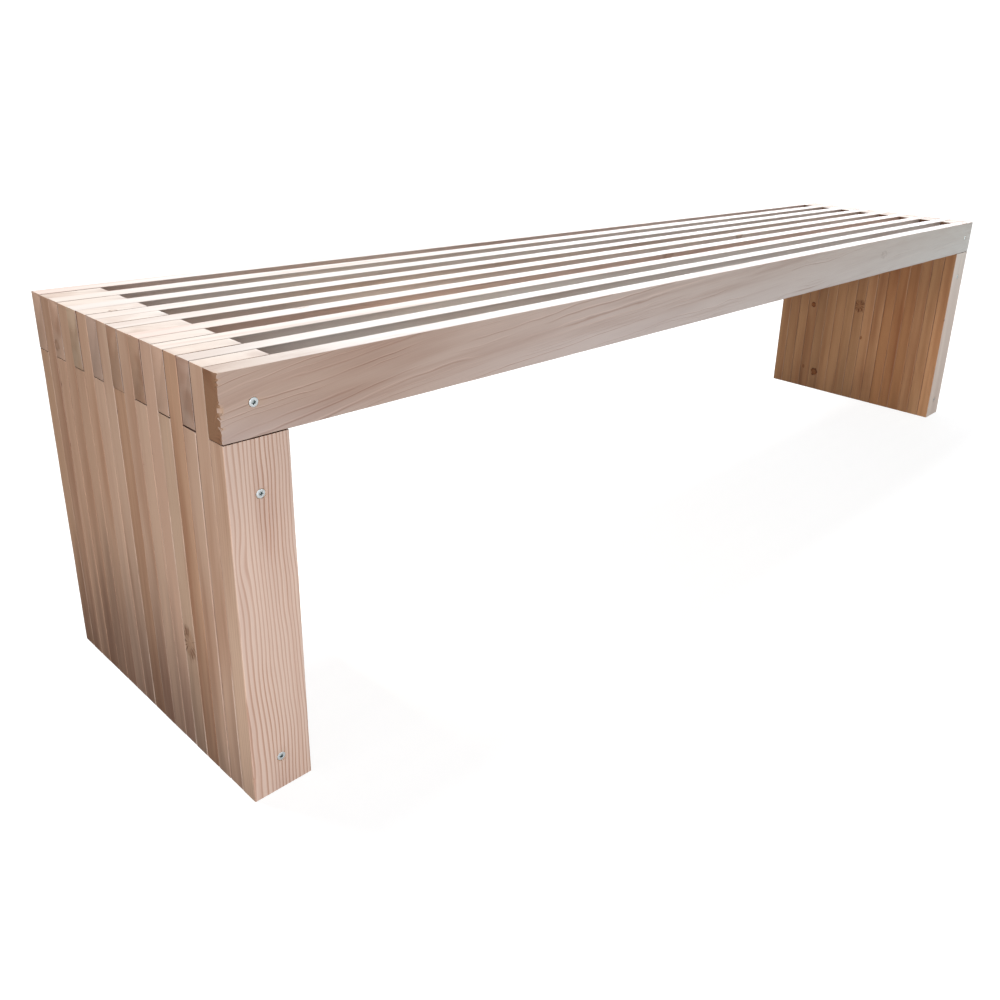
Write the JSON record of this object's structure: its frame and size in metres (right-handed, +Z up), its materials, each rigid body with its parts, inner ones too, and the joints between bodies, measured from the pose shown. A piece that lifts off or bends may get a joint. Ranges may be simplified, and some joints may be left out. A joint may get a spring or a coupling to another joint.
{
  "type": "slatted wooden bench",
  "caption": "Backless wooden garden bench: slats on edge form an open seat and interleave at both ends with upright planks that stack into solid slab legs.",
  "frame": {"origin": "on the floor, under the middle of the seat", "axes": "+X along the seat, from the left leg stack to the right one; +Y from the screwed front to the back; +Z up"},
  "size_m": [1.8, 0.408, 0.45],
  "materials": {
    "slat_wood": "planed, untreated softwood",
    "leg_wood": "planed, untreated softwood",
    "zinc_screw": "zinc plated"
  },
  "bodies": {
    "root": {"seat_slat_1": "slat_wood", "seat_slat_2": "slat_wood", "seat_slat_3": "slat_wood", "seat_slat_4": "slat_wood", "seat_slat_5": "slat_wood", "seat_slat_6": "slat_wood", "seat_slat_7": "slat_wood", "seat_slat_8": "slat_wood", "seat_slat_9": "slat_wood", "left_tall_leg_1": "leg_wood", "left_tall_leg_2": "leg_wood", "left_tall_leg_3": "leg_wood", "left_tall_leg_4": "leg_wood", "left_tall_leg_5": "leg_wood", "left_tall_leg_6": "leg_wood", "left_tall_leg_7": "leg_wood", "left_tall_leg_8": "leg_wood", "left_short_leg_1": "leg_wood", "left_short_leg_2": "leg_wood", "left_short_leg_3": "leg_wood", "left_short_leg_4": "leg_wood", "left_short_leg_5": "leg_wood", "left_short_leg_6": "leg_wood", "left_short_leg_7": "leg_wood", "left_short_leg_8": "leg_wood", "left_short_leg_9": "leg_wood", "left_front_screws": "zinc_screw", "right_tall_leg_1": "leg_wood", "right_tall_leg_2": "leg_wood", "right_tall_leg_3": "leg_wood", "right_tall_leg_4": "leg_wood", "right_tall_leg_5": "leg_wood", "right_tall_leg_6": "leg_wood", "right_tall_leg_7": "leg_wood", "right_tall_leg_8": "leg_wood", "right_short_leg_1": "leg_wood", "right_short_leg_2": "leg_wood", "right_short_leg_3": "leg_wood", "right_short_leg_4": "leg_wood", "right_short_leg_5": "leg_wood", "right_short_leg_6": "leg_wood", "right_short_leg_7": "leg_wood", "right_short_leg_8": "leg_wood", "right_short_leg_9": "leg_wood", "right_front_screws": "zinc_screw"}
  },
  "joints": []
}
